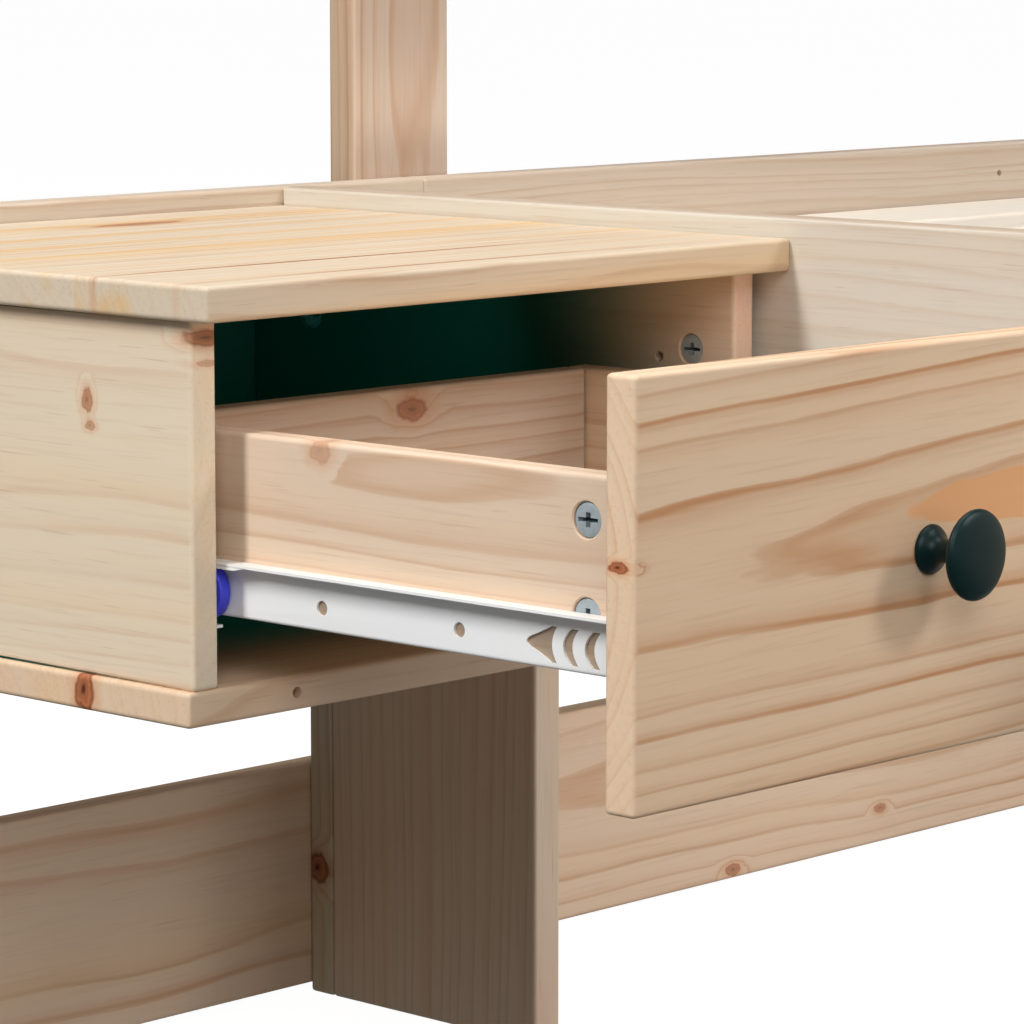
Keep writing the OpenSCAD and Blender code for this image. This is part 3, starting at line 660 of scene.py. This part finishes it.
def cross(a, b, c, d):
    """A cross of one bar 2a by 2b and one bar 2c by 2d."""
    return [(c, d), (-c, d), (-c, b), (-a, b), (-a, -b), (-c, -b), (-c, -d), (c, -d), (c, -b),
            (a, -b), (a, b), (c, b)]


def cam(place, way):
    """A cam in a bore that opens along +X (way 1) or -X (way -1) at place, and its slots."""
    profile = [(0, -cam_sink - 0.0001), (cam_r - 0.0012, -cam_sink), (cam_r - 0.0003, -cam_sink - 0.0003),
               (cam_r, -cam_sink - 0.001), (cam_r, -cam_deep), (0, -cam_deep)]
    near, deep = sorted((way * 0.001, -way * 0.0112))
    slot = prism(cross(0.0054, 0.0009, 0.0013, 0.0031), place, 0, near, deep)
    return pressed(profile, place, 0, way, 64), slot


# ---- Cabinets -----------------------------------------------------------------------------
# Edge-glued tops; sides on the bottom board, bored for cams on their inner faces.
cabinet_cams, cabinet_slots = [], []
bolt_bore = 0.0062
for index, (side, out) in enumerate((("left", -1), ("right", 1))):
    outer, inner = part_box(f"cabinet_{side}_outer_side"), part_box(f"cabinet_{side}_inner_side")
    walls = sorted((outer, inner))
    inside = ((walls[0][1][0], outer[0][1], outer[0][2]), (walls[1][0][0], outer[1][1], outer[1][2]))
    board(f"upper_back_board_{side}", "bed", 0, heart=(0.08, 0.05), seed=7 + 2 * index,
          contrast=0.45, tone=0.9, tint=TONE_AND_SHADE["back"], hollow=inside)
    knots = {"top": [((-0.8814, 0.9462, 0.444), (0.030, 0.007, 0.02), 0.75),
                     ((-0.975, 0.7117, 0.444), (0.130, 0.0017, 0.02), 0.9),
                     ((-0.960, 0.6580, 0.444), (0.100, 0.0019, 0.02), 0.7)],
             "outer": [((-1.1087, 0.7242, 0.3887), (0.02, 0.0034, 0.0050), 0.8),
                       ((-1.1087, 0.7224, 0.3775), (0.02, 0.0032, 0.0020), 0.7),
                       ((-1.1001, 0.6563, 0.4200), (0.012, 0.008, 0.0035), 0.85),
                       ((-1.0990, 0.6563, 0.4090), (0.006, 0.008, 0.0015), 0.6)],
             "bottom": [((-1.1117, 0.7254, 0.2591), (0.012, 0.006, 0.010), 1.0)]}
    if side == "right":
        knots = {"top": [((0.80, 0.72, 0.444), (0.014, 0.009, 0.02), 0.9)],
                 "outer": [((1.1087, 0.83, 0.33), (0.02, 0.010, 0.007), 0.8)], "bottom": []}
    board(f"cabinet_{side}_top", "bed", 0, heart=(0.02, -0.12), ring=0.006, seed=30 + index,
          contrast=0.55, tone=0.15, streak=0.9, staves=0.0905, knots=knots["top"],
          tint=TONE_AND_SHADE["top"], hollow=inside)
    for name, (low, high), way, marks in (("outer", outer, -out, knots["outer"]),
                                          ("inner", inner, out, [])):
        face = high[0] if way > 0 else low[0]
        middle = (low[0] + high[0]) / 2
        holes = [drill((face, low[1] + 0.049, high[2] - 0.045), 3 if way > 0 else 0, 0.005, 0.008)]
        for y in (low[1] + 0.028, high[1] - 0.045):
            place = (face, y, high[2] - 0.040)
            holes.append(drill(place, 3 if way > 0 else 0, 0.0152, 0.0122, 0.0005))
            holes.append(drill((middle, y, high[2]), 5, bolt_bore, 0.034, 0.0002))
            disc, slot = cam(place, way)
            cabinet_cams += [disc, pressed([(0, 0), (0.003, 0), (0.003, 0.0424), (0, 0.0424)],
                                           (middle, y, high[2] - 0.0325), 2, 1, 24)]
            cabinet_slots.append(slot)
        board(f"cabinet_{side}_{name}_side", "bed", 1, holes, heart=(0.03, 0.09 * out),
              ring=0.009, seed=32 + index, contrast=0.35, tone=0.5, knots=marks,
              tint=TONE_AND_SHADE["side" if name == "outer" else "inner"], hollow=inside,
              edge_tint=(1.05, 1.05, 1.04) if name == "outer" else (1.2, 1.10, 1.12))
    low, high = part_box(f"cabinet_{side}_bottom")
    dowels = [drill((x, low[1], (low[2] + high[2]) / 2), 1, 0.005, 0.025)
              for x in (outer[0][0] + 0.062 if out < 0 else inner[0][0] + 0.062,
                        inner[1][0] - 0.062 if out < 0 else outer[1][0] - 0.062)]
    board(f"cabinet_{side}_bottom", "bed", 0, dowels, heart=(0.05, -0.06), ring=0.007,
          seed=36 + index, contrast=0.5, knots=knots["bottom"], tint=TONE_AND_SHADE["bottom"],
          hollow=inside)
cams = shaped("cabinet_cams", cabinet_cams, "bed", "fitting_zinc", zinc, "cabinet_fittings")
cut(cams, cabinet_slots)

# ---- Runners ------------------------------------------------------------------------------
# Folded from 1.2 mm sheet with a white powder coat, a blue roller on each.
coat, tree = new_material("white_powder_coat")
here = put(tree, "TexCoord", {})["Object"]
orange_peel = put(tree, "TexNoise", {"Vector": here, "Scale": 1400.0, "Detail": 1.0})
cloud = put(tree, "TexNoise", {"Vector": here, "Scale": 30.0})
shade = put(tree, "Mix", {0: cloud[0], 6: linear(250, 251, 251), 7: linear(253, 253, 252)},
            data_type="RGBA")
finish_material(tree, {"Base Color": shade[2], "Roughness": 0.42}, orange_peel[0], 0.08, 0.0001)
nylon, tree = new_material("blue_nylon")
here = put(tree, "TexCoord", {})["Object"]
mottle = put(tree, "TexNoise", {"Vector": here, "Scale": 90.0})
shade = put(tree, "Mix", {0: mottle[0], 6: linear(62, 68, 230), 7: linear(78, 84, 240)},
            data_type="RGBA")
finish_material(tree, {"Base Color": shade[2], "Roughness": 0.38, "Subsurface Weight": 0.05})
sheet, bend_r = 0.0012, 0.0009


def folded(path, way, x, y0, y1, bend=bend_r):
    """A sheet strip: (outward, height) corners joined with round bends of radius bend, given a
    thickness of sheet about that line, mirrored by way, and carried along Y from y0 to y1."""
    path = [np.array(p) for p in path]
    line = [path[0]]
    for before, corner, after in zip(path, path[1:], path[2:]):
        into, leave = (corner - before), (after - corner)
        into, leave = into / np.linalg.norm(into), leave / np.linalg.norm(leave)
        start = corner - into * bend
        middle = start + leave * bend
        swing = [start + (into * sin(a) + leave * (1 - cos(a))) * bend
                 for a in np.linspace(0, pi / 2, 5)]
        line += swing
    line = np.array(line + [path[-1]])
    run = np.gradient(line, axis=0)
    run /= np.linalg.norm(run, axis=1)[:, None]
    side = np.stack([-run[:, 1], run[:, 0]], 1) * sheet / 2
    outline = np.concatenate([line + side, (line - side)[::-1]])
    count = len(outline)
    rows = [np.column_stack([x + way * outline[:, 0], np.full(count, y), outline[:, 1]])
            for y in (y0, y1)]
    n = len(line)
    faces = [(i, (i + 1) % count, count + (i + 1) % count, count + i) for i in range(count)]
    for base in (0, count):
        faces += [(base + i, base + i + 1, base + count - 2 - i, base + count - 1 - i)
                  for i in range(n - 1)]
    return np.concatenate(rows), faces


def window(outline, x, y0, z0):
    """A cutter through a runner's web: (distance from the front end, height) in mm."""
    return prism([(d / 1000, h / 1000) for d, h in outline], (x, y0, z0), 0, -0.002, 0.002)


rise = np.linspace(-7.6, 7.6, 9)
bow = 1 - (rise / 7.6) ** 2
point = [(66.8, 0.0), (66.3, 1.2), (64.8, 2.2), (60.0, 4.1), (55.5, 6.2), (53.0, 7.6)]
arrow = point + [(49.6 + 2.8 * b, h) for h, b in zip(rise[::-1], bow[::-1])]
arrow += [(d, -h) for d, h in point[:0:-1]]
windows = [arrow]
for outer_d in (41.8, 29.8):
    windows.append([(outer_d + 4.6 * b, h) for h, b in zip(rise, bow)]
                   + [(outer_d - 4.1 + 3.4 * b, h) for h, b in zip(rise[::-1], bow[::-1])])


def roller(x, y, z, r, width):
    """A roller between x and x + width with rounded rims and dished faces, bored for its axle."""
    bore, rim = 0.00206, 0.0008
    half = [(bore, 0.0), (0.0045, 0.0), (0.0050, 0.0008), (r - 0.0030, 0.0008), (r - 0.0025, 0.0)]
    half += [(r - rim + rim * sin(a), rim - rim * cos(a)) for a in np.linspace(0, pi / 2, 5)]
    profile = half + [(p, width - q) for p, q in reversed(half)]
    profile.append(profile[0])
    return revolved(profile, (x, y, z), 0, 64)


for side, out in (("left", -1), ("right", 1)):
    drawer_parts, drawer_windows, cabinet_parts = [], [], []
    front_rollers, rear_rollers = [], []
    for name, way in (("outer", out), ("inner", -out)):
        box_low, box_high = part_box(f"drawer_{side}_{name}_side")
        wall_low, wall_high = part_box(f"cabinet_{side}_{name}_side")
        x = box_high[0] if way > 0 else box_low[0]
        wall = wall_low[0] if way > 0 else wall_high[0]
        z, front = box_low[2], box_low[1]
        y0, y1 = front + 0.0005, front + 0.300
        hang = [(-0.0100, z - 0.0006), (0.0006, z - 0.0006), (0.0006, z + 0.0234),
                (0.0100, z + 0.0234)]
        drawer_parts.append(folded(hang, way, x, y0, y1))
        edge_x = x + way * 0.0094
        tab = [(front + d, z + h) for d, h in ((0.226, 0.0230), (0.233, 0.0214), (0.262, 0.0214),
                                               (0.266, 0.0230))]
        drawer_parts.append(prism(tab, (0, 0, 0), 0, *sorted((edge_x - 0.0006, edge_x + 0.0006))))
        drawer_windows += [window(w, x, front, z + 0.009) for w in windows]
        for d in (105, 187):
            ring = [(d + 3.25 * cos(a), 3.25 * sin(a)) for a in np.linspace(0, 2 * pi, 33)[:-1]]
            drawer_windows.append(window(ring, x, front, z + 0.009))
        track_top, track_low, reach = z + 0.021, z - 0.006, 0.0097
        wheel_y, wheel_z = wall_low[1] + 0.0155, z + 0.0100
        channel = [(reach, track_top - 0.0006), (0.0006, track_top - 0.0006),
                   (0.0006, track_low + 0.0006), (reach, track_low + 0.0006)]
        shelf = [(0.0006, track_top), (0.0006, track_low + 0.0006), (reach, track_low + 0.0006)]
        step = wheel_y + 0.0135
        cabinet_parts.append(folded(shelf, -way, wall, wall_low[1] + 0.008, step))
        cabinet_parts.append(folded(channel, -way, wall, step, wall_low[1] + 0.300))
        near = x + way * 0.0083
        low_x, high_x = sorted((near, near - way * 0.006))
        front_rollers.append(roller(low_x, wheel_y, wheel_z, 0.0125, 0.006))
        rear_y, rear_z = front + 0.285, z + 0.0075
        rear_rollers.append(roller(low_x, rear_y, rear_z, 0.012, 0.006))
        axle = wall - way * 0.0006
        tip = near - way * 0.0063
        cabinet_parts.append(pressed([(0, 0), (0.002, 0), (0.002, abs(tip - axle)),
                                      (0, abs(tip - axle))], (axle, wheel_y, wheel_z), 0, -way, 24))
        axle, tip = x + way * 0.0006, near + way * 0.0003
        drawer_parts.append(pressed([(0, 0), (0.002, 0), (0.002, abs(tip - axle)),
                                     (0, abs(tip - axle))], (axle, rear_y, rear_z), 0, way, 24))
    piece = shaped(f"drawer_{side}_runner_sheets", drawer_parts, f"drawer_{side}", "runner_steel",
                   coat, f"drawer_{side}_runners")
    cut(piece, drawer_windows)
    shaped(f"cabinet_{side}_runner_sheets", cabinet_parts, "bed", "runner_steel", coat,
           f"cabinet_{side}_runners")
    shaped(f"front_rollers_{side}_nylon", front_rollers, f"front_rollers_{side}", "roller_nylon",
           nylon, f"front_rollers_{side}")
    shaped(f"rear_rollers_{side}_nylon", rear_rollers, f"rear_rollers_{side}", "roller_nylon",
           nylon, f"rear_rollers_{side}")

# ---- Drawers ------------------------------------------------------------------------------
# Sides with a grooved-in base, joined to the front with cams; a turned, lacquered knob.
lacquer, tree = new_material("dark_lacquer")
here = put(tree, "TexCoord", {})["Object"]
cloud = put(tree, "TexNoise", {"Vector": here, "Scale": 120.0, "Detail": 2.0})
shade = put(tree, "Mix", {0: cloud[0], 6: linear(2, 33, 34), 7: linear(4, 40, 41)},
            data_type="RGBA")
rough = put(tree, "MapRange", {0: cloud[0], 3: 0.34, 4: 0.42})
fine = put(tree, "TexNoise", {"Vector": here, "Scale": 1800.0})
finish_material(tree, {"Base Color": shade[2], "Roughness": rough[0], "Specular IOR Level": 0.24},
                fine[0], 0.05, 0.0001)

knob = [(0, 0.0), (0.0104, 0.0), (0.0108, 0.0006), (0.0107, 0.0014), (0.0100, 0.0024), (0.0088, 0.0034),
        (0.0073, 0.0045), (0.0060, 0.0059), (0.0052, 0.0077), (0.0049, 0.0100), (0.0050, 0.0124),
        (0.0056, 0.0148), (0.0068, 0.0170), (0.0088, 0.0190), (0.0116, 0.0205), (0.0150, 0.0216),
        (0.0178, 0.0224), (0.0188, 0.0229), (0.0194, 0.0238), (0.0195, 0.0247), (0.0191, 0.0256),
        (0.0182, 0.0263), (0.0160, 0.0272), (0.0128, 0.0280), (0.0088, 0.0286), (0.0045, 0.0289),
        (0, 0.0290)]
for index, (side, out) in enumerate((("left", -1), ("right", 1))):
    body = f"drawer_{side}"
    front_low, front_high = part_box(f"drawer_{side}_front")
    middle_x = (front_low[0] + front_high[0]) / 2
    knob_z = (front_low[2] + front_high[2]) / 2
    fittings, slots, front_holes = [], [], []
    base_low, base_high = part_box(f"drawer_{side}_base")
    groove = block((base_low[0] - 0.0001, front_high[1] - 0.001, base_low[2] - 0.0001),
                   (base_high[0] + 0.0001, base_high[1] + 0.0001, base_high[2] + 0.0001))
    for name, way in (("outer", out), ("inner", -out)):
        low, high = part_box(f"drawer_{side}_{name}_side")
        face = high[0] if way > 0 else low[0]
        middle = (low[0] + high[0]) / 2
        holes = [groove]
        for lift in (0.0225, 0.0617):
            place = (face, low[1] + 0.0346, low[2] + lift)
            holes.append(drill(place, 3 if way > 0 else 0, 0.0152, 0.0122, 0.0006))
            holes.append(drill((middle, low[1], place[2]), 1, bolt_bore, 0.029, 0.0002))
            front_holes.append(drill((middle, low[1], place[2]), 4, bolt_bore, 0.010, 0.0002))
            disc, slot = cam(place, way)
            fittings += [disc, pressed([(0, 0), (0.003, 0), (0.003, 0.0360), (0, 0.0360)],
                                       (middle, low[1] + 0.0270, place[2]), 1, -1, 24)]
            slots.append(slot)
        board(f"drawer_{side}_{name}_side", body, 1, holes, heart=(0.035, 0.05 * out), ring=0.007,
              seed=40 + 2 * index + (way != out), contrast=0.5, tone=0.8, tint=TONE_AND_SHADE["box"],
              covered=low[2] + 0.0234,
              knots=[((face, low[1] + 0.189, high[2] - 0.004), (0.02, 0.006, 0.005), 0.5)])
    low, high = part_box(f"drawer_{side}_back")
    board(f"drawer_{side}_back", body, 0, [groove], 0.0010, heart=(0.04, -0.02), seed=44 + index,
          tint=TONE_AND_SHADE["box_back"], contrast=0.7,
          knots=[((0.9013 * out, low[1], 0.3668), (0.010, 0.02, 0.0055), 0.8)])
    front_holes.append(drill((middle_x, front_low[1], knob_z), 1, 0.0042, 0.030, 0.0002))
    board(f"drawer_{side}_front", body, 0, front_holes, heart=(0.092, 0.011), ring=0.0064,
          tilt=(0.0125, 0.03), phase=0.47, seed=46 + index, contrast=1.2, tone=0.1,
          streak=0.1, wander=0.1, fleck=0.06, tint=TONE_AND_SHADE["front"],
          patch=((0.800 * out, front_low[1], 0.353), (0.124, 0.006, 0.0130)),
          knots=[((1.1087 * out, front_low[1] + 0.0087, 0.3466), (0.006, 0.005, 0.0022), 1.0)])
    fittings.append(pressed([(0, -0.0260), (0.002, -0.0260), (0.002, 0.0), (0.004, 0.0),
                             (0.0038, 0.0012), (0.0026, 0.0022), (0, 0.0025)],
                            (middle_x, front_high[1], knob_z), 1, 1, 32))
    slots.append(prism(cross(0.0022, 0.0004, 0.0004, 0.0022), (middle_x, front_high[1], knob_z), 1,
                       0.001, 0.005))
    piece = shaped(f"drawer_{side}_fastenings", fittings, body, "fitting_zinc", zinc,
                   f"drawer_{side}_fittings")
    cut(piece, slots)
    turned = shaped(f"drawer_{side}_turned_knob", [pressed(knob, (middle_x, front_low[1], knob_z), 1, -1,
                                                           96)], body, "knob_lacquer", lacquer,
                    f"drawer_{side}_knob")
    cut(turned, [pressed([(0, -0.001), (0.0021, -0.001), (0.0021, 0.012), (0, 0.012)],
                         (middle_x, front_low[1], knob_z), 1, -1, 32)])
    low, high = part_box(f"drawer_{side}_base")
    ply = pine(f"drawer_{side}_base_ply", low, high, 0, (0.02, 0.9), ring=0.012, contrast=0.25,
               tone=0.3, seed=50 + index)
    shaped(f"drawer_{side}_base_sheet", [rounded_block(low, high, 0, 0.0004)], body, "base_board",
           ply, f"drawer_{side}_base")
